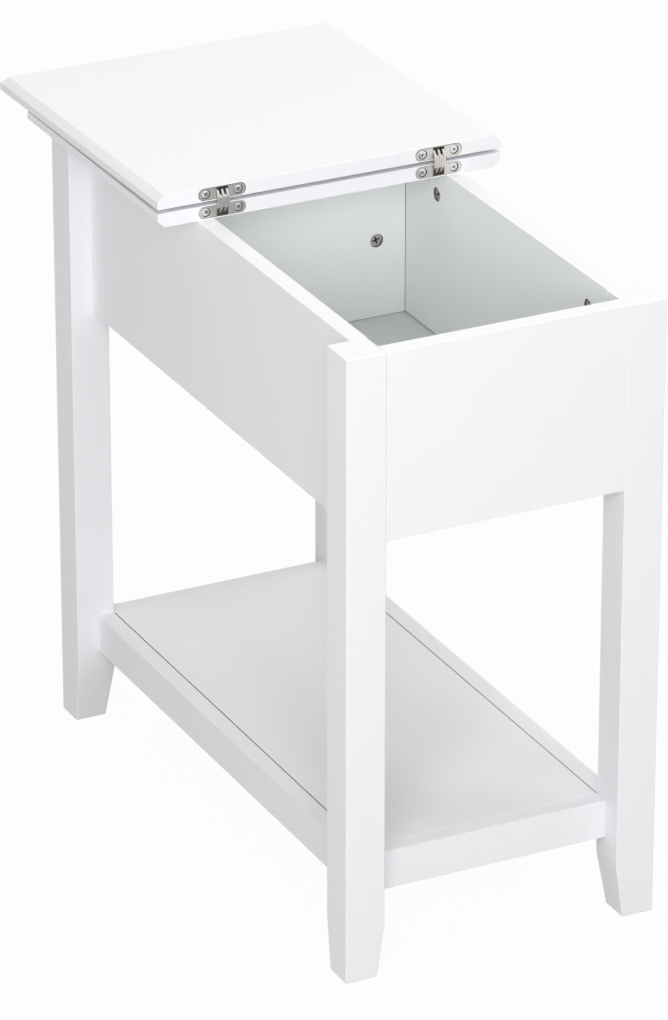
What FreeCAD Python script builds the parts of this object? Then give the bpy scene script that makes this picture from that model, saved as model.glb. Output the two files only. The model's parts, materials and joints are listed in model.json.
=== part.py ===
import FreeCAD, Part
import os
import re
import Sketcher

doc = FreeCAD.newDocument("flip_top_table")
sheet = doc.addObject("Spreadsheet::Sheet", "sizes")

# Driving dimensions: millimetres, and degrees for the angle of the folded lid
SIZES = {
    # Legs
    "leg_span_x": "300",
    "leg_span_y": "592",
    "leg_height": "581",
    "leg_section": "37",
    "foot_section": "30",
    "taper_height": "50",
    # Box under the top
    "panel_thickness": "16",
    "box_height": "170",
    "floor_thickness": "5",
    "floor_lift": "6",
    "groove_depth": "6",
    "groove_play": "0.3",
    "groove_gap": "0.8",
    "divider_setback": "408",
    "divider_gap": "0.5",
    # Shelf
    "shelf_height": "107",
    "shelf_thickness": "15",
    "shelf_side_gap": "1",
    "shelf_end_gap": "0.4",
    "rail_height": "36",
    # Fixed top and lid
    "top_thickness": "13",
    "edge_bevel": "6.2",
    "side_overhang": "16.5",
    "rear_overhang": "14.5",
    "front_overhang": "9",
    "seam_setback": "329",
    "seam_gap": "1.2",
    "fold_gap": "3.6",
    "lid_sag": "0.56",
    # Concealed hinges
    "hinge_inset": "45",
    "leaf_length": "44.5",
    "leaf_height": "10.4",
    "leaf_plate": "3",
    "leaf_body_width": "17",
    "leaf_body_depth": "12.4",
    "pocket_height": "9.8",
    "pocket_depth": "11",
    "mortise_play": "0.3",
    "link_thickness": "2",
    "link_play": "0.2",
    "link_half_width": "1.4",
    "pivot_offset": "5.1",
    "crown": "1.2",
    "corner_cut": "1.2",
    "arm_bend": "4.6",
    "arm_reach": "2.2",
    "arm_end": "9.5",
    "pin_radius": "0.7",
    "pin_seat_play": "0.03",
    "pin_turn_play": "0.05",
    "pin_slot_play": "0.1",
    "slot_travel": "4.23",
    "screw_spacing": "31",
    "screw_head_radius": "3.4",
    "screw_radius": "1.5",
    "screw_length": "12",
    "screw_sink": "1.9",
    "screw_play": "0.1",
    "well_radius": "4.2",
    "well_depth": "0.9",
    # Cam locks, cam bolts and dowels
    "cam_radius": "6.3",
    "cam_sink": "0.4",
    "cam_depth": "12",
    "cam_setback": "33",
    "cam_drop": "27",
    "divider_cam_setback": "29",
    "top_cam_drop": "24.5",
    "top_cam_inset": "19",
    "rail_cam_lift": "8.5",
    "bolt_radius": "3",
    "bolt_bite": "12",
    "bolt_slot_play": "0.5",
    "top_bolt_bite": "9",
    "dowel_radius": "4",
    "dowel_bite": "15",
    "rail_dowel_lift": "29",
    "side_rail_dowel_lift": "18",
    "shelf_dowel_bite": "10",
    "shelf_dowel_spacing": "300",
    "top_dowel_spacing": "160",
    "top_dowel_bite": "9",
    "divider_dowel_drop": "45",
    "bore_play": "0.1",
}
for row, (alias, value) in enumerate(SIZES.items(), start=1):
    sheet.set(f"A{row}", alias)
    sheet.set(f"B{row}", value)
    sheet.setAlias(f"B{row}", alias)
doc.recompute()

# Places that several pieces share, as formulas of the sheet's values
front = "(0 - seam_setback - front_overhang / 2)"
rear = "(leg_span_y - seam_setback - front_overhang / 2)"
seam_y = "(0 - front_overhang / 2)"
seam_z = "(leg_height + top_thickness + fold_gap / 2)"
mating_y = f"({seam_y} + seam_gap / 2)"
inner_x = "(leg_span_x / 2 - leg_section)"
post_front = f"({front} + leg_section)"
post_rear = f"({rear} - leg_section)"
box_low = "(leg_height - box_height)"
floor_low = f"({box_low} + floor_lift)"
rail_low = "(shelf_height - rail_height)"
half_panel = "(panel_thickness / 2)"

WORD = re.compile(r"[a-z_]+")
AXES = {"x": FreeCAD.Vector(1, 0, 0), "y": FreeCAD.Vector(0, 1, 0), "z": FreeCAD.Vector(0, 0, 1)}
pieces = []
cutters = {}


def bind(item, path, formula):
    """Tie one property to the sheet: names in the formula are the sheet's aliases."""
    def cell(word):
        return f"sizes.{word.group()}" if word.group() in SIZES else word.group()
    item.setExpression(path, WORD.sub(cell, formula))


def place(item, point):
    for axis, formula in zip("xyz", point):
        bind(item, f"Placement.Base.{axis}", formula)
    return item


def step(point, way, distance):
    """The point moved by a distance along a signed axis such as +x."""
    return tuple(f"({formula} {way[0]} ({distance}))" if axis == way[1] else formula
                 for axis, formula in zip("xyz", point))


def block(name, low, high):
    item = doc.addObject("Part::Box", name)
    for path, start, end in zip(("Length", "Width", "Height"), low, high):
        bind(item, path, f"{end} - ({start})")
    return place(item, low)


def rod(name, point, way, radius, length, end_radius=None):
    """A cylinder, or a cone, that starts at a point and runs along a signed axis."""
    item = doc.addObject("Part::Cylinder" if end_radius is None else "Part::Cone", name)
    direction = AXES[way[1]] * (1 if way[0] == "+" else -1)
    item.Placement.Rotation = FreeCAD.Rotation(AXES["z"], direction)
    if end_radius is None:
        bind(item, "Radius", radius)
    else:
        bind(item, "Radius1", radius)
        bind(item, "Radius2", end_radius)
    bind(item, "Height", length)
    return place(item, point)


def fuse(name, items):
    item = doc.addObject("Part::MultiFuse", name)
    item.Shapes = items
    return item


def group(name, items):
    item = doc.addObject("Part::Compound", name)
    item.Links = items
    return item


def cut(name, base, tools):
    item = doc.addObject("Part::Cut", name)
    item.Base = base
    item.Tool = tools[0] if len(tools) == 1 else fuse(f"{name}_tools", tools)
    return item


def bore(board, tool):
    cutters.setdefault(board, []).append(tool)


def piece(item):
    """Marks an object as one of the table's pieces: its name is the piece's name."""
    pieces.append(item)
    return item


def outline(sketch, points, closed):
    """Straight lines through points, each coordinate tied to the sheet."""
    count = len(points)
    lines = count if closed else count - 1
    for number in range(lines):
        start = FreeCAD.Vector(number, number * number, 0)
        after = (number + 1) % count
        sketch.addGeometry(Part.LineSegment(start, FreeCAD.Vector(after, after * after, 0)), False)
    for number in range(lines if closed else lines - 1):
        sketch.addConstraint(Sketcher.Constraint("Coincident", number, 2, (number + 1) % lines, 1))
    for number, point in enumerate(points):
        corner = (number, 1) if number < lines else (lines - 1, 2)
        for kind, formula in zip(("DistanceX", "DistanceY"), point):
            held = sketch.addConstraint(Sketcher.Constraint(kind, -1, 1, *corner, 1.0))
            bind(sketch, f"Constraints[{held}]", formula)
    return sketch


def rectangle(body, name, low, high, level):
    """A rectangle on the body's XY plane, raised to a level."""
    sketch = body.newObject("Sketcher::SketchObject", name)
    plane = [item for item in body.Origin.OriginFeatures if item.Role == "XY_Plane"][0]
    sketch.AttachmentSupport = [(plane, "")]
    sketch.MapMode = "FlatFace"
    bind(sketch, "AttachmentOffset.Base.z", level)
    corners = [low, (high[0], low[1]), high, (low[0], high[1])]
    return outline(sketch, corners, True)


def strip(name, points, half_width, low_x, thickness):
    """A flat bar with round ends that follows a centre line given from the hinge axis as (y, z)."""
    line = doc.addObject("Sketcher::SketchObject", f"{name}_line")
    line.Placement.Rotation = FreeCAD.Rotation(FreeCAD.Vector(1, 1, 1), 120)
    place(line, (low_x, seam_y, seam_z))
    outline(line, points, False)
    band = doc.addObject("Part::Offset2D", f"{name}_band")
    band.Source = line
    band.Mode = "Pipe"
    band.Join = "Arc"
    bind(band, "Value", half_width)
    bar = doc.addObject("Part::Extrusion", name)
    bar.Base = band
    bar.DirMode = "Custom"
    bar.Dir = AXES["x"]
    bar.Solid = True
    bind(bar, "LengthFwd", thickness)
    return bar


def fold(item):
    """Turns a piece of the lid, drawn flat over the fixed top, by the sag about the hinge axis."""
    item.Placement.Rotation = FreeCAD.Rotation(AXES["x"], -float(sheet.get("lid_sag")))
    bind(item, "Placement.Base.y", f"{seam_y} * (1 - cos(lid_sag)) - {seam_z} * sin(lid_sag)")
    bind(item, "Placement.Base.z", f"{seam_z} * (1 - cos(lid_sag)) + {seam_y} * sin(lid_sag)")
    return item


def cam_joint(number, point, face, way, setback, bite, panel, partner, locks, bolts):
    """A cam lock let into a panel's face, and its bolt that runs through the panel's end."""
    middle = step(point, face, half_panel)
    back = "-" if way[0] == "+" else "+"
    start = step(middle, way, "0 - bolt_radius")
    reach = f"{setback} + bolt_radius"
    disc = rod(f"{number}_disc", step(point, face, "cam_sink"), face, "cam_radius", "cam_depth - cam_sink")
    slot = rod(f"{number}_slot", step(start, back + way[1], "bolt_slot_play"), way,
               "bolt_radius + bolt_slot_play", "2 * cam_radius")
    locks.append(cut(f"{number}_lock", disc, [slot]))
    bolts.append(rod(f"{number}_bolt", start, way, "bolt_radius", f"{reach} + {bite}"))
    bore(panel, rod(f"{number}_seat", point, face, "cam_radius + bore_play", "cam_depth + bore_play"))
    hole = rod(f"{number}_hole", start, way, "bolt_radius + bore_play", f"{reach} + {bite} + bore_play")
    bore(panel, hole)
    bore(partner, hole)


def dowel(name, point, way, near, far, boards, dowels):
    """A dowel across a joint: near its start and far beyond the joint, bored into both boards."""
    start = step(point, way, f"0 - ({near})")
    dowels.append(rod(name, start, way, "dowel_radius", f"{near} + {far}"))
    hole = rod(f"{name}_hole", step(start, way, "0 - bore_play"), way, "dowel_radius + bore_play",
               f"{near} + {far} + 2 * bore_play")
    for board in boards:
        bore(board, hole)


# Blanks of the four legs: square posts, tapered at the foot on the two inner faces
blanks = {}
for end, outer_y, inward in (("front", front, "+"), ("rear", rear, "-")):
    for side, outward in (("left", "0 -"), ("right", "0 +")):
        name = f"leg_{end}_{side}"
        body = doc.addObject("PartDesign::Body", f"{name}_blank")
        outer = (f"{outward} leg_span_x / 2", outer_y)
        foot = (f"{outward} (leg_span_x / 2 - foot_section)", f"{outer_y} {inward} foot_section")
        post = (f"{outward} (leg_span_x / 2 - leg_section)", f"{outer_y} {inward} leg_section")
        foot_sketch = rectangle(body, f"{name}_foot", outer, foot, "0")
        knee_sketch = rectangle(body, f"{name}_knee", outer, post, "taper_height")
        taper = body.newObject("PartDesign::AdditiveLoft", f"{name}_taper")
        taper.Profile = foot_sketch
        taper.Sections = [knee_sketch]
        taper.Ruled = True
        shaft_sketch = rectangle(body, f"{name}_section", outer, post, "taper_height")
        shaft = body.newObject("PartDesign::Pad", f"{name}_shaft")
        shaft.Profile = shaft_sketch
        bind(shaft, "Length", "leg_height - taper_height")
        blanks[name] = body

# Blanks of the box: four panels with a groove for the floor, and the divider
low_x = f"(0 - {inner_x})"
blanks["box_front"] = block("box_front_blank", (low_x, front, box_low),
                            (inner_x, f"({front} + panel_thickness)", "leg_height"))
blanks["box_rear"] = block("box_rear_blank", (low_x, f"({rear} - panel_thickness)", box_low),
                           (inner_x, rear, "leg_height"))
blanks["box_side_left"] = block("box_side_left_blank", (f"({low_x} - panel_thickness)", post_front, box_low),
                                (low_x, post_rear, "leg_height"))
blanks["box_side_right"] = block("box_side_right_blank", (inner_x, post_front, box_low),
                                 (f"({inner_x} + panel_thickness)", post_rear, "leg_height"))
floor_top = f"({floor_low} + floor_thickness)"
divider_y = f"({front} + divider_setback)"
blanks["box_divider"] = block("box_divider_blank",
                              (f"({low_x} + divider_gap)", divider_y, f"({floor_top} + divider_gap)"),
                              (f"({inner_x} - divider_gap)", f"({divider_y} + panel_thickness)",
                               "leg_height"))
groove = block("floor_groove",
               (f"({low_x} - groove_depth)", f"({front} + panel_thickness - groove_depth)", floor_low),
               (f"({inner_x} + groove_depth)", f"({rear} - panel_thickness + groove_depth)",
                f"({floor_top} + groove_gap)"))
for board in ("box_front", "box_rear", "box_side_left", "box_side_right"):
    bore(board, groove)

# Box floor: a thin board held in the grooves, its corners notched round the legs
tongue = "(groove_depth - groove_play)"
floor_wide = block("floor_wide", (f"({low_x} - {tongue})", f"({post_front} + groove_play)", floor_low),
                   (f"({inner_x} + {tongue})", f"({post_rear} - groove_play)", floor_top))
floor_long = block("floor_long",
                   (f"({low_x} + groove_play)", f"({front} + panel_thickness - {tongue})", floor_low),
                   (f"({inner_x} - groove_play)", f"({rear} - panel_thickness + {tongue})", floor_top))
piece(fuse("box_floor", [floor_wide, floor_long]))

# Blanks of the shelf: four rails between the legs, and the panel that drops in flush between them
rail_front = f"({post_front} - panel_thickness)"
rail_rear = f"({post_rear} + panel_thickness)"
blanks["shelf_rail_front"] = block("shelf_rail_front_blank", (low_x, rail_front, rail_low),
                                   (inner_x, post_front, "shelf_height"))
blanks["shelf_rail_rear"] = block("shelf_rail_rear_blank", (low_x, post_rear, rail_low),
                                  (inner_x, rail_rear, "shelf_height"))
blanks["shelf_rail_left"] = block("shelf_rail_left_blank",
                                  (f"({low_x} - panel_thickness)", post_front, rail_low),
                                  (low_x, post_rear, "shelf_height"))
blanks["shelf_rail_right"] = block("shelf_rail_right_blank", (inner_x, post_front, rail_low),
                                   (f"({inner_x} + panel_thickness)", post_rear, "shelf_height"))
shelf_low = "(shelf_height - shelf_thickness)"
blanks["shelf_panel"] = block("shelf_panel_blank",
                              (f"({low_x} + shelf_side_gap)", f"({post_front} + shelf_end_gap)", shelf_low),
                              (f"({inner_x} - shelf_side_gap)", f"({post_rear} - shelf_end_gap)",
                               "shelf_height"))

# Blanks of the two tops: boards with a bevel under the three outer edges, the lid drawn folded open
side_x = "(leg_span_x / 2 + side_overhang)"
boards = (("fixed_top", f"({rear} + rear_overhang)", "leg_height", "low"),
          ("lid", f"({seam_y} + seam_setback + front_overhang)", f"({seam_z} + fold_gap / 2)", "high"))
for name, far_y, level, under in boards:
    body = doc.addObject("PartDesign::Body", f"{name}_blank")
    plan = rectangle(body, f"{name}_plan", (f"0 - {side_x}", mating_y), (side_x, far_y), level)
    slab = body.newObject("PartDesign::Pad", f"{name}_slab")
    slab.Profile = plan
    bind(slab, "Length", "top_thickness")
    doc.recompute()
    bounds = slab.Shape.BoundBox
    level_z = bounds.ZMin if under == "low" else bounds.ZMax
    names = []
    for number, edge in enumerate(slab.Shape.Edges, start=1):
        centre = edge.CenterOfMass
        if abs(centre.z - level_z) < 0.01 and centre.y > bounds.YMin + 0.01:
            names.append(f"Edge{number}")
    bevel = body.newObject("PartDesign::Chamfer", f"{name}_bevel")
    bevel.Base = (slab, names)
    bind(bevel, "Size", "edge_bevel")
    blanks[name] = body

# Box corners: two cam joints and a dowel at each end of the four panels
box_locks, box_bolts, box_dowels = [], [], []
levels = (("upper", "(leg_height - cam_drop)"), ("lower", f"({box_low} + cam_drop)"))
mid_box = f"({box_low} + box_height / 2)"
for end, face_y, face in (("front", f"({front} + panel_thickness)", "-y"),
                          ("rear", f"({rear} - panel_thickness)", "+y")):
    for side, way, x_in, x_end in (("left", "-x", f"({low_x} + cam_setback)", low_x),
                                   ("right", "+x", f"({inner_x} - cam_setback)", inner_x)):
        leg = f"leg_{end}_{side}"
        for height, z in levels:
            cam_joint(f"box_{end}_{side}_{height}", (x_in, face_y, z), face, way, "cam_setback", "bolt_bite",
                      f"box_{end}", leg, box_locks, box_bolts)
        mid_y = step((x_end, face_y, mid_box), face, half_panel)
        dowel(f"box_{end}_{side}_dowel", mid_y, way, "dowel_bite", "dowel_bite", (f"box_{end}", leg),
              box_dowels)
for side, face_x, face in (("left", low_x, "-x"), ("right", inner_x, "+x")):
    for end, way, y_in, y_end in (("front", "-y", f"({post_front} + cam_setback)", post_front),
                                  ("rear", "+y", f"({post_rear} - cam_setback)", post_rear)):
        leg = f"leg_{end}_{side}"
        for height, z in levels:
            cam_joint(f"side_{side}_{end}_{height}", (face_x, y_in, z), face, way, "cam_setback", "bolt_bite",
                      f"box_side_{side}", leg, box_locks, box_bolts)
        mid_x = step((face_x, y_end, mid_box), face, half_panel)
        dowel(f"side_{side}_{end}_dowel", mid_x, way, "dowel_bite", "dowel_bite", (f"box_side_{side}", leg),
              box_dowels)
piece(group("cam_locks_box", box_locks))
piece(group("cam_bolts_box", box_bolts))
piece(group("dowels_box", box_dowels))

# Divider: one cam joint and one dowel at each end, into the side panels
divider_locks, divider_bolts, divider_dowels = [], [], []
for side, way, x_in, x_end in (("left", "-x", f"({low_x} + divider_cam_setback)", low_x),
                               ("right", "+x", f"({inner_x} - divider_cam_setback)", inner_x)):
    joined = ("box_divider", f"box_side_{side}")
    cam_joint(f"divider_{side}", (x_in, divider_y, mid_box), "+y", way, "divider_cam_setback",
              "shelf_dowel_bite", *joined, divider_locks, divider_bolts)
    low_point = (x_end, f"({divider_y} + {half_panel})", f"({mid_box} - divider_dowel_drop)")
    dowel(f"divider_{side}_dowel", low_point, way, "dowel_bite", "shelf_dowel_bite", joined, divider_dowels)
piece(group("cam_locks_divider", divider_locks))
piece(group("cam_bolts_divider", divider_bolts))
piece(group("dowels_divider", divider_dowels))

# Fixed top: two cam joints in each side panel and two dowels in the rear panel
top_locks, top_bolts, top_dowels = [], [], []
for side, face_x, face in (("left", low_x, "-x"), ("right", inner_x, "+x")):
    for end, y in (("near", f"({seam_y} + top_cam_inset)"), ("far", f"({post_rear} - 2 * cam_setback)")):
        cam_joint(f"top_{side}_{end}", (face_x, y, "(leg_height - top_cam_drop)"), face, "+z", "top_cam_drop",
                  "top_bolt_bite", f"box_side_{side}", "fixed_top", top_locks, top_bolts)
    dowel_x = "(0 - top_dowel_spacing / 2)" if side == "left" else "(top_dowel_spacing / 2)"
    dowel(f"top_{side}_dowel", (dowel_x, f"({rear} - {half_panel})", "leg_height"), "+z", "dowel_bite",
          "top_dowel_bite", ("box_rear", "fixed_top"), top_dowels)
piece(group("cam_locks_top", top_locks))
piece(group("cam_bolts_top", top_bolts))
piece(group("dowels_top", top_dowels))

# Shelf rails: a cam joint and a dowel at each end of the cross rails, a dowel at each end of the side rails
rail_locks, rail_bolts, rail_dowels = [], [], []
for end, face_y, face in (("front", post_front, "-y"), ("rear", post_rear, "+y")):
    for side, way, x_in, x_end in (("left", "-x", f"({low_x} + cam_setback)", low_x),
                                   ("right", "+x", f"({inner_x} - cam_setback)", inner_x)):
        joined = (f"shelf_rail_{end}", f"leg_{end}_{side}")
        cam_joint(f"rail_{end}_{side}", (x_in, face_y, f"({rail_low} + rail_cam_lift)"), face, way,
                  "cam_setback", "bolt_bite", *joined, rail_locks, rail_bolts)
        upper = step((x_end, face_y, f"({rail_low} + rail_dowel_lift)"), face, half_panel)
        dowel(f"rail_{end}_{side}_dowel", upper, way, "dowel_bite", "dowel_bite", joined, rail_dowels)
for side, face_x, face in (("left", low_x, "-x"), ("right", inner_x, "+x")):
    for end, way, y_end in (("front", "-y", post_front), ("rear", "+y", post_rear)):
        middle = step((face_x, y_end, f"({rail_low} + side_rail_dowel_lift)"), face, half_panel)
        dowel(f"rail_{side}_{end}_dowel", middle, way, "dowel_bite", "dowel_bite",
              (f"shelf_rail_{side}", f"leg_{end}_{side}"), rail_dowels)
piece(group("cam_locks_rails", rail_locks))
piece(group("cam_bolts_rails", rail_bolts))
piece(group("dowels_rails", rail_dowels))

# Shelf panel: two dowels into each side rail carry it
shelf_dowels = []
mid_y = f"({post_front} / 2 + {post_rear} / 2)"
for side, face_x, way in (("left", low_x, "-x"), ("right", inner_x, "+x")):
    for end, sign in (("front", "-"), ("rear", "+")):
        point = (face_x, f"({mid_y} {sign} shelf_dowel_spacing / 2)", "(shelf_height - shelf_thickness / 2)")
        dowel(f"shelf_{side}_{end}_dowel", point, way, "dowel_bite", "shelf_dowel_bite",
              ("shelf_panel", f"shelf_rail_{side}"), shelf_dowels)
piece(group("dowels_shelf", shelf_dowels))

# Concealed hinges: below the hinge axis the table's half, above it the lid's half, as folded open
pitch = "(link_thickness + link_play)"
pocket_width = f"(5 * {pitch} + link_play)"
hands = (("left", "(hinge_inset - leg_span_x / 2)"), ("right", "(leg_span_x / 2 - hinge_inset)"))
for hand, hinge_x in hands:
    hinge = f"hinge_{hand}"
    for half, sign, board in (("table", "-", "fixed_top"), ("lid", "+", "lid")):
        name = f"{hinge}_{half}"
        mid_z = f"({seam_z} {sign} (fold_gap + top_thickness) / 2)"
        pivot = (hinge_x, f"({seam_y} + pivot_offset)", f"({seam_z} {sign} pivot_offset)")

        # Leaf: a round-ended plate with a deep body behind it, and the mortise that takes both
        solids = []
        for part, play in (("leaf", "0"), ("mortise", "mortise_play")):
            half_z = f"(leaf_height / 2 + {play})"
            straight = "(leaf_length / 2 - leaf_height / 2)"
            plate = block(f"{name}_{part}_plate",
                          (f"({hinge_x} - {straight})", mating_y, f"({mid_z} - {half_z})"),
                          (f"({hinge_x} + {straight})", f"({mating_y} + leaf_plate + {play})",
                           f"({mid_z} + {half_z})"))
            ends = [rod(f"{name}_{part}_{word}_end", (f"({hinge_x} {way} {straight})", mating_y, mid_z), "+y",
                        half_z, f"leaf_plate + {play}") for word, way in (("low", "-"), ("high", "+"))]
            core = block(f"{name}_{part}_core",
                         (f"({hinge_x} - leaf_body_width / 2 - {play})", mating_y, f"({mid_z} - {half_z})"),
                         (f"({hinge_x} + leaf_body_width / 2 + {play})",
                          f"({mating_y} + leaf_body_depth + {play})",
                          f"({mid_z} + {half_z})"))
            solids.append(fuse(f"{name}_{part}_solid", [plate, *ends, core]))
        leaf_solid, mortise = solids
        bore(board, mortise)
        pocket = block(f"{name}_pocket",
                       (f"({hinge_x} - {pocket_width} / 2)", f"({mating_y} - 1)",
                        f"({mid_z} - pocket_height / 2)"),
                       (f"({hinge_x} + {pocket_width} / 2)", f"({mating_y} + pocket_depth)",
                        f"({mid_z} + pocket_height / 2)"))
        openings = [pocket]
        pin_start = step(pivot, "-x", "leaf_body_width / 2")
        openings.append(rod(f"{name}_pin_hole", pin_start, "+x", "pin_radius + pin_seat_play",
                            "leaf_body_width"))

        # Screws: countersunk heads at the bottom of round wells in the plate, shanks in the board's edge
        screws = []
        for word, way in (("low", "-"), ("high", "+")):
            seat = (f"({hinge_x} {way} screw_spacing / 2)", mating_y, mid_z)
            bottom = step(seat, "+y", "well_depth")
            sunk = step(bottom, "+y", "screw_play")
            openings.append(rod(f"{name}_{word}_well", seat, "+y", "well_radius", "well_depth"))
            head = rod(f"{name}_{word}_head", sunk, "+y", "screw_head_radius", "screw_sink", "screw_radius")
            shank = rod(f"{name}_{word}_shank", sunk, "+y", "screw_radius", "screw_length")
            screws.append(fuse(f"{name}_{word}_screw", [head, shank]))
            openings.append(rod(f"{name}_{word}_sink", bottom, "+y", "screw_head_radius + 2 * screw_play",
                                "screw_sink + screw_play", "screw_radius + 2 * screw_play"))
            hole = rod(f"{name}_{word}_hole", seat, "+y", "screw_radius + screw_play",
                       "well_depth + screw_length + 2 * screw_play")
            openings.append(hole)
            bore(board, hole)
        leaf = piece(cut(f"{name}_leaf", leaf_solid, openings))
        pin_rod = rod(f"{name}_pin_rod", step(pin_start, "+x", "link_play"), "+x", "pin_radius",
                      "leaf_body_width - 2 * link_play")
        pin = piece(group(f"{name}_pin", [pin_rod]))
        screw_pair = piece(group(f"{name}_screws", screws))
        if half == "lid":
            for item in (leaf, pin, screw_pair):
                fold(item)

    # Link plates: three that turn in the table's leaf and two that turn in the lid's leaf
    for word, half, sign, places in (("lower", "table", "0 +", (-2, 0, 2)), ("upper", "lid", "0 -", (-1, 1))):
        line = [("pivot_offset", f"{sign} (0 - pivot_offset)"),
                ("corner_cut - crown", f"{sign} (0 - pivot_offset)"),
                ("0 - crown", f"{sign} (corner_cut - pivot_offset)"),
                ("0 - crown", f"{sign} arm_bend"),
                ("arm_reach", f"{sign} arm_end")]
        plates = []
        for number, place_x in enumerate(places):
            low = f"({hinge_x} + {place_x} * {pitch} - link_thickness / 2)"
            name = f"{hinge}_{word}_plate_{number}"
            bar = strip(name, line, "link_half_width", low, "link_thickness")
            eye_place = (low, f"({seam_y} + pivot_offset)", f"({seam_z} + ({line[0][1]}))")
            eye = rod(f"{name}_eye", eye_place, "+x", "pin_radius + pin_turn_play", "link_thickness")
            if word == "lower":
                centre = rod(f"{name}_centre", (low, f"({seam_y} - crown)", seam_z), "+x",
                             "pin_radius + pin_seat_play", "link_thickness")
            else:
                slot_y = f"({seam_y} - crown)"
                slot_low = f"({seam_z} - slot_travel)"
                half_slot = "(pin_radius + pin_slot_play)"
                centre = fuse(f"{name}_slot", [
                    rod(f"{name}_slot_high", (low, slot_y, seam_z), "+x", half_slot, "link_thickness"),
                    rod(f"{name}_slot_low", (low, slot_y, slot_low), "+x", half_slot, "link_thickness"),
                    block(f"{name}_slot_middle", (low, f"({slot_y} - {half_slot})", slot_low),
                          (f"({low} + link_thickness)", f"({slot_y} + {half_slot})", seam_z))])
            plates.append(cut(f"{name}_cut", bar, [eye, centre]))
        links = piece(group(f"{hinge}_{word}_links", plates))
        if word == "upper":
            fold(links)

    # Centre pin: fast in the three plates, free to slide in the slot of the two others
    stack = f"(5 * {pitch} - link_play)"
    piece(rod(f"{hinge}_centre_pin", (f"({hinge_x} - {stack} / 2)", f"({seam_y} - crown)", seam_z), "+x",
              "pin_radius", stack))

# Boards and legs with their bores, grooves and mortises cut
for name, blank in blanks.items():
    board = piece(cut(name, blank, cutters[name]))
    if name == "lid":
        fold(board)

doc.recompute()
os.makedirs("parts", exist_ok=True)
for item in doc.Objects:
    if "Invalid" in item.State or "Error" in item.State:
        raise RuntimeError(f"{item.Name} did not build: {item.State}")
for item in pieces:
    shape = item.Shape
    if shape.isNull() or not shape.isValid():
        raise RuntimeError(f"{item.Name} has no valid shape")
    shape.exportStep(f"parts/{item.Label}.step")
print(len(pieces), "pieces written")
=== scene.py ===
import json
import math
import bmesh
import bpy
import numpy as np
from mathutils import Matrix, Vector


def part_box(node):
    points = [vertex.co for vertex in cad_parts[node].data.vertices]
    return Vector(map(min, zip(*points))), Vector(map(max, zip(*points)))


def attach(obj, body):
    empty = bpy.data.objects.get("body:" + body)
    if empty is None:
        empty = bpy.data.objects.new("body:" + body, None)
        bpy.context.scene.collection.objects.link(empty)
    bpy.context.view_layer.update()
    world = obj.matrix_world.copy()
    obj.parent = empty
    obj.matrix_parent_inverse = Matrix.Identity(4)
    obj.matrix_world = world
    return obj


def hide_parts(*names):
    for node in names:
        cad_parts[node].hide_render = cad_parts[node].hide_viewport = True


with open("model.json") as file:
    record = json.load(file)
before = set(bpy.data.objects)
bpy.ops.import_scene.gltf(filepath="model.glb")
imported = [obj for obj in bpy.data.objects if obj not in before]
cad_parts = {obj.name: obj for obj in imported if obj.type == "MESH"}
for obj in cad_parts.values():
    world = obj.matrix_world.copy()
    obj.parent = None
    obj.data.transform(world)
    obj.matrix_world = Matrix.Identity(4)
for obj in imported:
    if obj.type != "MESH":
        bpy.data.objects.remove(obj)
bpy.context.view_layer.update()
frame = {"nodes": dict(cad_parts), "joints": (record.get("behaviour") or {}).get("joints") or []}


# Legs: four square hardwood posts, the two inner faces of each tapered at the foot.
# The arrises are sanded round before the white paint is sprayed on.
# Dowels and cam bolts hold the box panels and the shelf rails to them.
class Field:
    """A value in a shader: an expression on it adds Math nodes."""

    def __init__(self, owner, socket):
        self.owner = owner
        self.socket = socket

    def math(self, operation, other):
        return self.owner.node("ShaderNodeMath", {"operation": operation}, {0: self, 1: other})

    def __add__(self, other):
        return self.math("ADD", other)

    def __mul__(self, other):
        return self.math("MULTIPLY", other)

    __radd__ = __add__
    __rmul__ = __mul__


class Nodes:
    """The nodes of a material or of the world."""

    def __init__(self, tree):
        self.nodes = tree.nodes
        self.links = tree.links

    def node(self, kind, settings, inputs, output=0):
        """Adds a node: its settings first, then a value or a link for each of the inputs given."""
        made = self.nodes.new(kind)
        for key, value in settings.items():
            setattr(made, key, value)
        for key, value in inputs.items():
            if isinstance(value, Field):
                self.links.new(value.socket, made.inputs[key])
            else:
                made.inputs[key].default_value = value
        return Field(self, made.outputs[output])


class Finish(Nodes):
    """A material with one Principled shader: constants go on its own sockets, fields are linked to them."""

    def __init__(self, name, **constants):
        self.material = bpy.data.materials.new(name)
        self.material.use_nodes = True
        super().__init__(self.material.node_tree)
        self.shader = self.nodes["Principled BSDF"]
        for socket, value in constants.items():
            self.shader.inputs[socket.replace("_", " ")].default_value = value
        self.place = self.node("ShaderNodeTexCoord", {}, {}, "Object")

    def noise(self, scale, detail, stretch=(1.0, 1.0, 1.0)):
        """Noise over the piece's own space, drawn out along an axis whose stretch is below one."""
        place = self.node("ShaderNodeMapping", {}, {"Vector": self.place, "Scale": stretch})
        return self.node("ShaderNodeTexNoise", {}, {"Vector": place, "Scale": scale, "Detail": detail})

    def blend(self, share, low, high):
        """The colour that lies between two others by a share from 0 to 1, on a Mix node's colour sockets."""
        factor, first, second, result = 0, 6, 7, 2
        inputs = {factor: share, first: (*low, 1), second: (*high, 1)}
        return self.node("ShaderNodeMix", {"data_type": "RGBA"}, inputs, result)

    def bump(self, height, depth, strength):
        """The normal of a surface that a height raises and lowers."""
        return self.node("ShaderNodeBump", {}, {"Height": height, "Distance": depth, "Strength": strength})

    def feed(self, **fields):
        """Links fields to the shader's sockets, and gives back the material."""
        for socket, field in fields.items():
            self.links.new(field.socket, self.shader.inputs[socket.replace("_", " ")])
        return self.material


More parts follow.
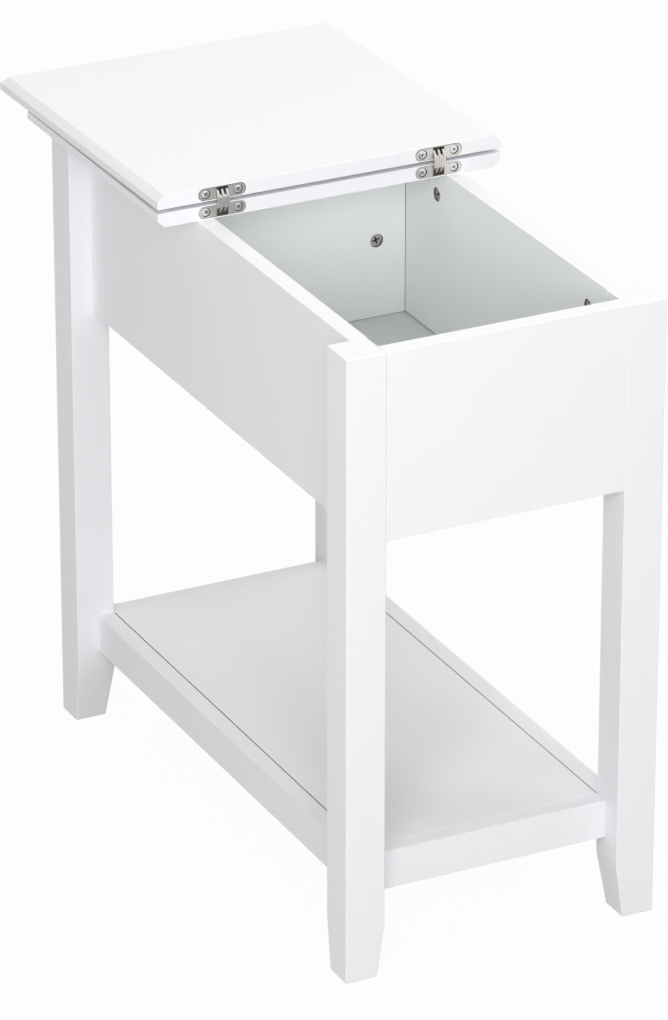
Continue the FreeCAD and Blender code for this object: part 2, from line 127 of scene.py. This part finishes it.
def sprayed_paint(name, pale, gloss):
    """Sprayed paint: faint clouds in colour and gloss, and the slow ripple that it dries with."""
    cloudy = 0.982
    gloss_spread = 0.08
    paint = Finish(name, Specular_IOR_Level=0.5)
    clouds = paint.noise(scale=7.0, detail=3.0)
    sheen = paint.noise(scale=38.0, detail=3.0)
    ripple = paint.noise(scale=420.0, detail=1.0)
    return paint.feed(Base_Color=paint.blend(clouds, [cloudy * value for value in pale], pale),
                      Roughness=gloss + gloss_spread * sheen,
                      Normal=paint.bump(ripple, depth=0.00002, strength=0.12))


def seat(name, mesh, materials, body, replaced):
    """Makes a mesh a piece with its materials, on a body, in place of the nodes it stands for."""
    for material in materials:
        mesh.materials.append(material)
    mesh.shade_smooth()
    piece = bpy.data.objects.new(name, mesh)
    bpy.context.scene.collection.objects.link(piece)
    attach(piece, body)
    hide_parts(*replaced)
    return piece


def fit(name, points, faces, materials, body, replaced):
    """Makes a piece of an array of points and a list of faces."""
    mesh = bpy.data.meshes.new(name)
    mesh.from_pydata(points.reshape(-1, 3).tolist(), [], faces)
    return seat(name, mesh, materials, body, replaced)


def tube(rows, count):
    """Quads between the rows of a grid whose columns close on themselves, facing away from its axis."""
    start = np.arange(rows - 1)[:, None] * count
    here = np.arange(count)
    after = (here + 1) % count
    quads = np.stack([start + here, start + after, start + count + after, start + count + here], axis=-1)
    return quads.reshape(-1, 4).tolist()


def post(low, high, foot, knee, ease, inward):
    """A post, as a surface round its section and up its height.

    The section is a square with quarter-circle corners. The faces that look inward stand back by the foot's
    taper at the floor and reach their full place at the knee. At both ends the section draws in along a
    quarter circle as wide as the ease, and its own corners shrink with it, but not to a point.
    """
    corner_points = 5
    beside_knee = 0.004
    least_corner = 0.06 * ease
    turn = np.linspace(0, np.pi / 2, corner_points)
    height = high[2] - low[2]
    draw = ease * (1 - np.sin(turn))
    rise = ease * (1 - np.cos(turn))
    knees = [knee - beside_knee, knee, knee + beside_knee]
    z = np.concatenate([rise, knees, height - rise[::-1]])
    inset = np.concatenate([draw, np.zeros(len(knees)), draw[::-1]])
    back = (high[0] - low[0] - foot) * np.clip(1 - z / knee, 0, 1)
    edge = np.maximum(ease - inset, least_corner)
    middle, half = [], []
    for axis in (0, 1):
        near = low[axis] + inset + (back if inward[axis] < 0 else 0)
        far = high[axis] - inset - (back if inward[axis] > 0 else 0)
        middle.append((near + far) / 2)
        half.append((far - near) / 2 - edge)
    corners = np.arange(4)[:, None] * np.pi / 2
    around = (corners + turn).ravel()
    sign_x = (np.sign(np.cos(corners + np.pi / 4)) + 0 * turn).ravel()
    sign_y = (np.sign(np.sin(corners + np.pi / 4)) + 0 * turn).ravel()
    ring_x = middle[0][:, None] + half[0][:, None] * sign_x + edge[:, None] * np.cos(around)
    ring_y = middle[1][:, None] + half[1][:, None] * sign_y + edge[:, None] * np.sin(around)
    points = np.stack([ring_x, ring_y, low[2] + z[:, None] + 0 * ring_x], axis=-1)
    number = np.arange(ring_x.size).reshape(ring_x.shape)
    return points, tube(*ring_x.shape) + [number[0, ::-1].tolist(), number[-1].tolist()]


FOOT_WIDTH = 0.030
KNEE_HEIGHT = 0.050
LEG_EASE = 0.0010
PAINT = sprayed_paint("white_paint", (0.915, 0.908, 0.934), 0.30)
for end, towards_y in (("front", 1), ("rear", -1)):
    for side, towards_x in (("left", 1), ("right", -1)):
        node = f"leg_{end}_{side}"
        points, faces = post(*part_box(node), FOOT_WIDTH, KNEE_HEIGHT, LEG_EASE, (towards_x, towards_y))
        leg = fit(f"{node}_post", points, faces, [PAINT], "table", [node])
        leg.modifiers.new("flats", "WEIGHTED_NORMAL")

# Box under the top: four panels of painted board between the legs, a divider and a thin floor in grooves.
# The edges are eased with paper.
# Grooves, bores and sawn ends go through the paint and show the bare board,
# coloured darker than raw board as painted shade in the seams, hairlines and bores.
DOUBLE_POINT = 2e-6
FLAT_ANGLE = math.radians(0.3)
ARRIS_ANGLE = math.radians(28)
SLACK = 0.0001
UNDER_FACE = 0.0003


def eased(node, body, materials, width, choice=None, edge=-1):
    """A copy of a node with its doubles merged and its flats joined, and every arris rounded to a width.

    The choice gives each face, by its middle, the number of its material. The rounded arrises take the
    material of the number given, or else that of their neighbours.
    """
    form = bmesh.new()
    form.from_mesh(frame["nodes"][node].data)
    bmesh.ops.remove_doubles(form, verts=form.verts, dist=DOUBLE_POINT)
    bmesh.ops.dissolve_limit(form, angle_limit=FLAT_ANGLE, verts=form.verts, edges=form.edges)
    mesh = bpy.data.meshes.new(f"{node}_eased")
    form.to_mesh(mesh)
    form.free()
    piece = seat(f"{node}_eased", mesh, materials, body, [node])
    kind = np.zeros(len(mesh.polygons), dtype=np.int32)
    if choice:
        middles = np.empty(3 * len(mesh.polygons))
        mesh.polygons.foreach_get("center", middles)
        kind[:] = choice(middles.reshape(-1, 3), node)
    mesh.polygons.foreach_set("material_index", kind)
    ease = piece.modifiers.new("ease", "BEVEL")
    ease.width = width
    ease.segments = 3
    ease.limit_method = "ANGLE"
    ease.angle_limit = ARRIS_ANGLE
    ease.material = edge
    piece.modifiers.new("flats", "WEIGHTED_NORMAL")


def in_box(points):
    """On the faces that look into the box, or between them."""
    side_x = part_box("box_side_right")[0][0] + SLACK
    front_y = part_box("box_front")[1][1] - SLACK
    rear_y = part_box("box_rear")[0][1] + SLACK
    return (abs(points[:, 0]) < side_x) & (points[:, 1] > front_y) & (points[:, 1] < rear_y)


def in_board(points, node):
    """Deeper than the faces of a board on all sides, as the walls of its grooves and bores are."""
    low, high = np.array(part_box(node))
    return ((points > low + UNDER_FACE) & (points < high - UNDER_FACE)).all(axis=1)


def at_ends(points, node):
    """On the faces of a board that look left and right, where it is sawn, or deeper than its faces."""
    low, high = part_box(node)
    sawn = (points[:, 0] < low[0] + UNDER_FACE) | (points[:, 0] > high[0] - UNDER_FACE)
    return sawn | in_board(points, node)


def panel_sides(points, node):
    """Nought for a panel's outside, one for its face in the box and two for its grooves and bores."""
    return np.where(in_board(points, node), 2, in_box(points))


def grained(name, scale, detail, low, high, gloss, spread, relief=None, stretch=(1.0, 1.0, 1.0), metal=0.0):
    """A finish whose colour and gloss follow one noise, and so does its relief, by a depth and a strength."""
    finish = Finish(name, Metallic=metal)
    grain = finish.noise(scale, detail, stretch)
    if relief:
        finish.feed(Normal=finish.bump(grain, *relief))
    return finish.feed(Base_Color=finish.blend(grain, low, high), Roughness=gloss + spread * grain)


PANEL_EASE = 0.0007
FINE_EASE = 0.0004
FLOOR_EASE = 0.0003
# Raw board, coloured darker than it is: painted shade in the seams, bores and mortises it lines.
BARE_AND_GAP_SHADE = grained("bare_board", scale=1400.0, detail=4.0, low=(0.12, 0.094, 0.070), high=(0.24, 0.195, 0.15),
               gloss=0.75, spread=0.2, relief=(0.0001, 0.5))
INSIDE = sprayed_paint("white_facing", (0.905, 0.917, 0.918), 0.31)
LINING = sprayed_paint("floor_lining", (0.67, 0.70, 0.705), 0.30)
for node in ("box_front", "box_rear", "box_side_left", "box_side_right"):
    eased(node, "table", [PAINT, INSIDE, BARE_AND_GAP_SHADE], PANEL_EASE, panel_sides)
eased("box_divider", "table", [INSIDE, BARE_AND_GAP_SHADE], FINE_EASE, at_ends)
eased("box_floor", "table", [LINING, BARE_AND_GAP_SHADE], FLOOR_EASE, at_ends)

# Shelf: four painted rails that dowels and cam locks hold to the legs, and a panel flush between them.
# A hairline stays open along the panel's two sawn edges, whose bare board is dark as painted shade.
for side in ("front", "rear", "left", "right"):
    eased(f"shelf_rail_{side}", "table", [PAINT, BARE_AND_GAP_SHADE], PANEL_EASE, in_board)
eased("shelf_panel", "table", [PAINT, BARE_AND_GAP_SHADE], FINE_EASE, at_ends)


# Dowels and cam bolts: beech pegs and steel bolts that stand inside the joints, out of sight.
# They keep their turned shapes and get the wood and the zinc plate of the real ones.
def coat(node, material):
    """Gives a node that keeps its own mesh a material."""
    mesh = frame["nodes"][node].data
    mesh.materials.clear()
    mesh.materials.append(material)


BEECH = grained("beech", scale=300.0, detail=4.0, low=(0.52, 0.36, 0.20), high=(0.70, 0.54, 0.35),
                gloss=0.55, spread=0.2, relief=(0.0001, 0.4), stretch=(0.12, 1.0, 1.0))
STEEL = grained("zinc_plated_steel", scale=900.0, detail=3.0, low=(0.80, 0.81, 0.82), high=(0.93, 0.94, 0.95),
                gloss=0.16, spread=0.10, metal=1.0)
for group in ("box", "divider", "top", "rails", "shelf"):
    for kind, material in (("dowels", BEECH), ("cam_bolts", STEEL)):
        if f"{kind}_{group}" in frame["nodes"]:
            coat(f"{kind}_{group}", material)

# Cam locks: die-cast zinc drums that turn in the panels and draw the bolts in.
# Each sits a little deep in its bore and shows a grey face with a cross for the screwdriver,
# whose recess is coloured near-black as painted shade.
SHARP_ANGLE = math.radians(35)
CAM_SUNK = 0.0017
CAM_FROM_MIDDLE = 0.080
CAM_FROM_EDGE = 0.027
CAM_FROM_END = 0.033
TOP_CAM_DOWN = 0.0245
TOP_CAM_FRONT_Y = 0.0145
TOP_CAM_FROM_END = 0.066
DIVIDER_CAM_FROM_MIDDLE = 0.084
RAIL_CAM_UP = 0.0085
CAM_TURNS = (0.2, 0.75)


def cross_head(radius, dome, arm, reach, sink, stem):
    """A round head with a cross recess, on a stem.

    A square grid (s, t) is bent to a disc: x is s times the root of 1 - t²/2, and y is t times the root of
    1 - s²/2. The height is a shallow dome, less the recess wherever a grid line lies within the arm's half
    width of either middle line and inside the reach, and the recess is half as deep at the reach. The disc's
    edge is then carried down the stem's profile of radius and height.
    """
    just_past = 1.01
    # The grid's lines lie on both sides of each wall of the recess, with a few more between.
    lines = np.array([arm * 0.5, arm, arm * 1.25, 0.3, 0.42, reach, reach * 1.07, 0.7, 0.82, 0.92, 1.0])
    lines = np.concatenate([-lines[::-1], lines])
    count = len(lines)
    s, t = np.meshgrid(lines, lines, indexing="ij")
    x = s * np.sqrt(1 - t * t / 2)
    y = t * np.sqrt(1 - s * s / 2)
    far = np.maximum(abs(s), abs(t))
    cut = (np.minimum(abs(s), abs(t)) < arm * just_past) & (far < reach * just_past)
    z = dome * (1 - x * x - y * y) - cut * sink * (1 - 0.5 * far / reach)
    face = np.stack([radius * x, radius * y, z], axis=-1)
    index = np.arange(count * count).reshape(count, count)
    quads = np.stack([index[:-1, :-1], index[1:, :-1], index[1:, 1:], index[:-1, 1:]], axis=-1).reshape(-1, 4)
    loop = np.concatenate([index[:-1, 0], index[-1, :-1], index[:0:-1, -1], index[0, :0:-1]])
    rim = np.stack([x.ravel()[loop], y.ravel()[loop]], axis=-1)
    stem = np.array(stem)
    rings = np.concatenate([stem[:, :1, None] * rim, stem[:, 1:, None] + 0 * rim[:, :1]], axis=-1)
    points = np.concatenate([face.reshape(-1, 3), rings.reshape(-1, 3)])
    rows = np.concatenate([loop[None], count * count + np.arange(rings[..., 0].size).reshape(len(stem), -1)])
    after = np.roll(rows, -1, axis=1)
    sides = np.stack([rows[:-1], rows[1:], after[1:], after[:-1]], axis=-1).reshape(-1, 4)
    faces = quads.tolist() + sides.tolist() + [rows[-1][::-1].tolist()]
    # The faces of the recess are flagged for a darker material: painted shade in the recess.
    dark = np.zeros(len(faces), dtype=np.int32)
    dark[:len(quads)] = cut.ravel()[quads].any(axis=1)
    return points, faces, dark


def set_heads(name, head, centres, outward, turns, materials, body, replaced):
    """Copies of a head: each stands at a centre, looks outward and is turned about its own axis."""
    points, faces, dark = head
    outward = np.array(outward, dtype=float)
    side = np.cross([0.0, 0.0, 1.0], outward)
    side /= np.linalg.norm(side, axis=1)[:, None]
    up = np.cross(outward, side)
    cosine = np.cos(turns)[:, None]
    sine = np.sin(turns)[:, None]
    basis = np.stack([cosine * side + sine * up, cosine * up - sine * side, outward], axis=1)
    placed = np.array(centres)[:, None, :] + np.einsum("pk,nkc->npc", points, basis)
    copies = [[corner + number * len(points) for corner in face]
              for number in range(len(turns)) for face in faces]
    piece = fit(name, placed, copies, materials, body, replaced)
    piece.data.polygons.foreach_set("material_index", np.tile(dark, len(turns)))
    piece.data.set_sharp_from_angle(angle=SHARP_ANGLE)


ZINC = grained("cast_zinc", scale=700.0, detail=4.0, low=(0.52, 0.50, 0.47), high=(0.76, 0.74, 0.70),
               gloss=0.34, spread=0.2, relief=(0.00006, 0.4), metal=1.0)
# Near-black for the faces inside the cross recesses: painted shade where the recess lies in shadow.
CROSS_SHADE = grained("recess_grime", scale=1500.0, detail=3.0, low=(0.025, 0.023, 0.019),
                high=(0.08, 0.075, 0.062), gloss=0.6, spread=0.2, metal=0.6)
drum = cross_head(radius=0.0063, dome=0.0, arm=0.10, reach=0.54, sink=0.0024,
                  stem=[(0.0063, -0.0004), (0.0062, -0.0102)])
low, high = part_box("box_side_left")
across = (-CAM_FROM_MIDDLE, CAM_FROM_MIDDLE)
heights = (high[2] - CAM_FROM_EDGE, low[2] + CAM_FROM_EDGE)
side_walls = ((high[0], 1), (-high[0], -1))
end_walls = ((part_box("box_front")[1][1], 1), (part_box("box_rear")[0][1], -1))
box_cams = [((x, y - way * CAM_SUNK, z), (0, way, 0)) for y, way in end_walls for z in heights
            for x in across]
box_cams += [((x - way * CAM_SUNK, y, z), (way, 0, 0)) for x, way in side_walls for z in heights
             for y in (low[1] + CAM_FROM_END, high[1] - CAM_FROM_END)]
top_cams = [((x - way * CAM_SUNK, y, high[2] - TOP_CAM_DOWN), (way, 0, 0)) for x, way in side_walls
            for y in (TOP_CAM_FRONT_Y, high[1] - TOP_CAM_FROM_END)]
divider_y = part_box("box_divider")[0][1] + CAM_SUNK
divider_cams = [((x, divider_y, (low[2] + high[2]) / 2), (0, -1, 0))
                for x in (-DIVIDER_CAM_FROM_MIDDLE, DIVIDER_CAM_FROM_MIDDLE)]
rail_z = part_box("shelf_rail_front")[0][2] + RAIL_CAM_UP
rail_walls = ((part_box("shelf_rail_front")[1][1], 1), (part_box("shelf_rail_rear")[0][1], -1))
rail_cams = [((x, y - way * CAM_SUNK, rail_z), (0, way, 0)) for y, way in rail_walls for x in across]
chance = np.random.default_rng(seed=7)
for group, cams in (("box", box_cams), ("top", top_cams), ("divider", divider_cams), ("rails", rail_cams)):
    centres, outward = zip(*cams)
    set_heads(f"cam_drums_{group}", drum, centres, outward, chance.uniform(*CAM_TURNS, len(cams)),
              [ZINC, CROSS_SHADE], "table", [f"cam_locks_{group}"])

# Fixed top and lid: two halves of painted board, each with a broad bevel under its three outer edges.
# Their meeting edges are square and mortised for the hinges, and the mortises show the bare board,
# dark as painted shade round the leaves.
# Folded, the lid lies on its back over the fixed top and sags by a fraction of a degree.
LEAF_FROM_AXIS = 0.0083
MORTISE_DEPTH = 0.016
MORTISE_HALF_LENGTH = 0.023
MORTISE_HALF_HEIGHT = 0.0056
sag = math.radians(frame["joints"][0]["range_deg"][1] - 180)
axis_y, axis_z = frame["joints"][0]["pos_m"][1:]
meeting_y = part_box("fixed_top")[0][1]
low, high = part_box("hinge_right_table_pin")
hinge_x = (low[0] + high[0]) / 2


def turned(points, angle):
    """Points turned about the hinge axis; the sag turns what is drawn flat over the fixed top to the lid."""
    y = points[..., 1] - axis_y
    z = points[..., 2] - axis_z
    return np.stack([points[..., 0], axis_y + y * math.cos(angle) + z * math.sin(angle),
                     axis_z - y * math.sin(angle) + z * math.cos(angle)], axis=-1)


def from_hinge(points, node):
    """Distances from a hinge's middle, the meeting edge and the axis, with the lid's sag taken back."""
    flat = turned(points, -sag if "lid" in node else 0)
    return abs(abs(flat[:, 0]) - hinge_x), flat[:, 1] - meeting_y, abs(flat[:, 2] - axis_z)


def in_mortise(points, node):
    """Deeper than the meeting edge, and within a leaf's outline."""
    along, deep, away = from_hinge(points, node)
    within = (along < MORTISE_HALF_LENGTH) & (abs(away - LEAF_FROM_AXIS) < MORTISE_HALF_HEIGHT)
    return within & (deep > UNDER_FACE) & (deep < MORTISE_DEPTH)


eased("fixed_top", "table", [PAINT, BARE_AND_GAP_SHADE], FINE_EASE, in_mortise)
eased("lid", "lid", [PAINT, BARE_AND_GAP_SHADE], FINE_EASE, in_mortise)

# Concealed hinges: nickel-plated die-cast leaves let into the meeting edges, joined by five link plates.
# Each leaf is held by two countersunk screws that sit in round wells.
# The well bottoms and the leaves' rounded outlines are coloured near-black as painted shade.
SCREW_FROM_MIDDLE = 0.0155
SCREW_SUNK = 0.001
SCREW_TURNS = (0.0, 1.4)
WELL_RADIUS = 0.0043
WELL_DEPTH = 0.0008
LINK_EASE = 0.00025


def in_well(points, node):
    """At the bottom of a well or deeper, and nearer to a screw's axis than the well's radius."""
    along, deep, away = from_hinge(points, node)
    return (np.hypot(along - SCREW_FROM_MIDDLE, away - LEAF_FROM_AXIS) < WELL_RADIUS) & (deep > WELL_DEPTH)


NICKEL = grained("nickel_plate", scale=1100.0, detail=4.0, low=(0.58, 0.555, 0.52), high=(0.90, 0.875, 0.84),
                 gloss=0.29, spread=0.15, relief=(0.00004, 0.35), metal=1.0)
# Near-black for the bottoms of the wells and the leaves' rounded outlines: painted shade.
WELL_AND_OUTLINE_SHADE = grained("well_shadow", scale=1300.0, detail=3.0, low=(0.05, 0.047, 0.043), high=(0.11, 0.105, 0.098),
               gloss=0.45, spread=0.2, metal=0.8)
RECESS = grained("recess_shade", scale=1500.0, detail=3.0, low=(0.20, 0.21, 0.21), high=(0.34, 0.35, 0.35),
                 gloss=0.36, spread=0.2, metal=0.9)
screw = cross_head(radius=0.0035, dome=0.0005, arm=0.10, reach=0.56, sink=0.0012,
                   stem=[(0.0035, -0.0002), (0.0015, -0.0019), (0.0015, -0.0112), (0.0002, -0.0119)])
for hand, middle_x in (("left", -hinge_x), ("right", hinge_x)):
    for half, z, angle in (("table", axis_z - LEAF_FROM_AXIS, 0), ("lid", axis_z + LEAF_FROM_AXIS, sag)):
        hinge = f"hinge_{hand}_{half}"
        # The leaf's rounded outline arrises take the near-black painted shade too.
        eased(f"{hinge}_leaf", half, [NICKEL, WELL_AND_OUTLINE_SHADE], FINE_EASE, in_well, edge=1)
        coat(f"{hinge}_pin", STEEL)
        drawn = [(middle_x + x, meeting_y + SCREW_SUNK, z) for x in (-SCREW_FROM_MIDDLE, SCREW_FROM_MIDDLE)]
        centres = turned(np.array(drawn), angle)
        outward = [(0, -math.cos(angle), math.sin(angle))] * len(drawn)
        set_heads(f"{hinge}_screw_pair", screw, centres, outward, chance.uniform(*SCREW_TURNS, len(drawn)),
                  [STEEL, RECESS], half, [f"{hinge}_screws"])
    for links in ("lower_links", "upper_links"):
        eased(f"hinge_{hand}_{links}", f"{hand}_{links}", [NICKEL], LINK_EASE)
    coat(f"hinge_{hand}_centre_pin", STEEL)

# Studio: a wide sweep under the table and walls all round, white to the eye and dimmer as a source of light.
# Six soft lamps stand about: a key and a front lamp, one overhead, one on each side and one at the rear.
# They are kept out of mirror rays, so that the paint shows no bright squares.
SWEEP_REACH = 20
SWEEP_GREY = 0.45
SWEEP_GLOW = 0.97
AMBIENT = 0.20


def bare_ray(nodes):
    """One for rays that reach the eye straight, off metal or through glass, and nothing for the rest."""
    kinds = ("Camera", "Glossy", "Transmission")
    rays = [nodes.node("ShaderNodeLightPath", {}, {}, f"Is {kind} Ray") for kind in kinds]
    clamped = {"operation": "ADD", "use_clamp": True}
    return nodes.node("ShaderNodeMath", clamped, {0: rays[0] + rays[1], 1: rays[2]})


def soft_lamp(name, place, aim, size, power):
    """A square lamp at a place, turned to face a point."""
    lamp = bpy.data.lights.new(name, "AREA")
    lamp.size = size
    lamp.energy = power
    item = bpy.data.objects.new(name, lamp)
    bpy.context.scene.collection.objects.link(item)
    item.location = place
    item.visible_glossy = False
    way = np.array(aim) - np.array(place)
    item.rotation_euler = (math.acos(-way[2] / np.linalg.norm(way)), 0, math.atan2(-way[0], way[1]))


sweep = Finish("studio_white", Base_Color=(SWEEP_GREY, SWEEP_GREY, SWEEP_GREY, 1.0))
sweep.feed(Roughness=0.8 + 0.1 * sweep.noise(scale=3.0, detail=2.0))
paper = Field(sweep, sweep.shader.outputs[0])
glow = sweep.node("ShaderNodeEmission", {}, {"Color": (1, 1, 1, 1), "Strength": 1.0})
mixed = sweep.node("ShaderNodeMixShader", {}, {0: SWEEP_GLOW * bare_ray(sweep), 1: paper, 2: glow})
sweep.links.new(mixed.socket, sweep.nodes["Material Output"].inputs[0])
floor = bpy.data.meshes.new("studio_floor")
corners = [(SWEEP_REACH * x, SWEEP_REACH * y, 0) for x, y in ((-1, -1), (1, -1), (1, 1), (-1, 1))]
floor.from_pydata(corners, [], [(0, 1, 2, 3)])
floor.materials.append(sweep.material)
studio_floor = bpy.data.objects.new("studio_floor", floor)
bpy.context.scene.collection.objects.link(studio_floor)

world = bpy.data.worlds.new("studio")
world.use_nodes = True
bpy.context.scene.world = world
walls = Nodes(world.node_tree)
level = AMBIENT + (1 - AMBIENT) * bare_ray(walls)
walls.links.new(level.socket, walls.nodes["Background"].inputs["Strength"])
walls.nodes["Background"].inputs["Color"].default_value = (1, 1, 1, 1)

soft_lamp("key", place=(-1.6, -2.8, 1.8), aim=(0, 0, 0.5), size=2.0, power=68)
soft_lamp("front", place=(0.6, -3.2, 1.6), aim=(0, 0, 0.5), size=2.0, power=20)
soft_lamp("overhead", place=(0.0, -0.1, 2.6), aim=(0, -0.1, 0.5), size=1.6, power=13.5)
soft_lamp("left", place=(-2.4, -0.6, 0.8), aim=(0, 0, 0.45), size=1.6, power=10)
soft_lamp("right", place=(1.7, -0.3, 2.3), aim=(0, 0, 0.45), size=1.6, power=18)
soft_lamp("rear", place=(0.2, 2.0, 2.2), aim=(0, 0, 0.45), size=1.6, power=12)

# Camera: in front and to the left of the table, as the photograph's was, and looking down on it.
# Its focal length is given in pixels of the photograph's height, and the whole table is in the frame.
PHOTO_HEIGHT_PIXELS = 1020.0
FOCAL_PIXELS = 6040.2
SENSOR_WIDTH = 36.0
LOOK_DOWN = 24.68
LOOK_RIGHT = 26.45
lens = bpy.data.cameras.new("camera")
lens.sensor_width = SENSOR_WIDTH
lens.lens = FOCAL_PIXELS * SENSOR_WIDTH / PHOTO_HEIGHT_PIXELS
lens.clip_end = 50.0
camera = bpy.data.objects.new("camera", lens)
bpy.context.scene.collection.objects.link(camera)
camera.location = (-2.1768, -4.3845, 2.5286)
camera.rotation_euler = (math.radians(90 - LOOK_DOWN), 0, math.radians(-LOOK_RIGHT))
bpy.context.scene.camera = camera
bpy.context.scene.view_settings.view_transform = "Standard"
